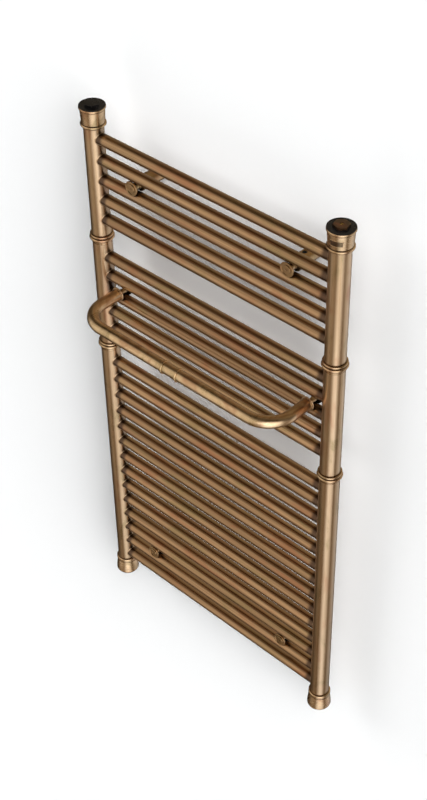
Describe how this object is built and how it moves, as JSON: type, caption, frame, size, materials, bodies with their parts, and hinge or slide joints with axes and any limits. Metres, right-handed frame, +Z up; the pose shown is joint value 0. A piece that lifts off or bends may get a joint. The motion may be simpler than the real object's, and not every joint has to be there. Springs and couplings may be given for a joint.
{
  "type": "towel warmer rack",
  "caption": "Wall-mounted water-heated ladder towel rail with round rungs between two columns, a bow-shaped front hanging rail and adjustable wall mounts.",
  "frame": {"origin": "middle of the four wall fixings, on the wall plane", "axes": "+X to the right along the rungs as seen from the room, +Y into the wall, +Z up the columns"},
  "size_m": [0.5808, 0.1763, 1.1233],
  "materials": {
    "bronze_rungs": "brushed antique bronze",
    "bronze_columns": "brushed antique bronze",
    "bronze_fittings": "polished antique bronze",
    "bronze_mounts": "satin antique bronze",
    "black_plastic": "gloss black",
    "black_metal": "gloss black",
    "steel": "plain zinc plated",
    "brass": "plain machined",
    "rubber": "soft"
  },
  "bodies": {
    "wall_stubs": {"wall_stub_top_left": "steel", "wall_stub_top_right": "steel", "wall_stub_bottom_left": "steel", "wall_stub_bottom_right": "steel"},
    "ladder": {"rung_01": "bronze_rungs", "rung_02": "bronze_rungs", "rung_03": "bronze_rungs", "rung_04": "bronze_rungs", "rung_05": "bronze_rungs", "rung_06": "bronze_rungs", "rung_07": "bronze_rungs", "rung_08": "bronze_rungs", "rung_09": "bronze_rungs", "rung_10": "bronze_rungs", "rung_11": "bronze_rungs", "rung_12": "bronze_rungs", "rung_13": "bronze_rungs", "rung_14": "bronze_rungs", "rung_15": "bronze_rungs", "rung_16": "bronze_rungs", "rung_17": "bronze_rungs", "rung_18": "bronze_rungs", "rung_19": "bronze_rungs", "rung_20": "bronze_rungs", "rung_21": "bronze_rungs", "rung_22": "bronze_rungs", "rung_23": "bronze_rungs", "rung_24": "bronze_rungs", "column_left": "bronze_columns", "column_head_left": "bronze_fittings", "column_foot_left": "bronze_fittings", "ring_upper_left": "bronze_fittings", "ring_lower_left": "bronze_fittings", "plug_seal_left": "black_plastic", "column_right": "bronze_columns", "column_head_right": "bronze_fittings", "column_foot_right": "bronze_fittings", "ring_upper_right": "bronze_fittings", "ring_lower_right": "bronze_fittings", "plug_seal_right": "black_plastic", "blank_plug": "black_metal", "vent_plug": "bronze_fittings", "bow": "bronze_rungs", "bow_rings": "bronze_fittings", "bow_collars": "bronze_fittings", "bow_inserts": "brass", "bow_studs": "bronze_mounts", "bow_washers": "bronze_mounts", "bow_nuts": "bronze_mounts", "clamp_caps": "bronze_mounts", "clamp_screws": "bronze_mounts", "grub_screws": "black_metal", "mount_sleeve_top_left": "bronze_mounts", "mount_sleeve_top_right": "bronze_mounts", "mount_sleeve_bottom_left": "bronze_mounts", "mount_sleeve_bottom_right": "bronze_mounts"},
    "vent_seal": {"vent_seal": "rubber"},
    "vent_screw": {"vent_screw": "brass"}
  },
  "joints": [
    {"name": "wall_offset", "type": "slide", "parent": "wall_stubs", "child": "ladder", "axis": [0, -1, 0], "range_m": [0, 0.012]},
    {"name": "vent_lift", "type": "slide", "parent": "ladder", "child": "vent_seal", "axis": [0, 0, 1], "range_m": [0, 0.0012]},
    {"name": "vent_turn", "type": "hinge", "parent": "vent_seal", "child": "vent_screw", "pos_m": [0.267, -0.062, 0.55], "axis": [0, 0, 1], "range_deg": [0, 540]}
  ],
  "couplings": [
    {"joint": "vent_turn", "follows": "vent_lift", "rad_per_m": 7850}
  ]
}
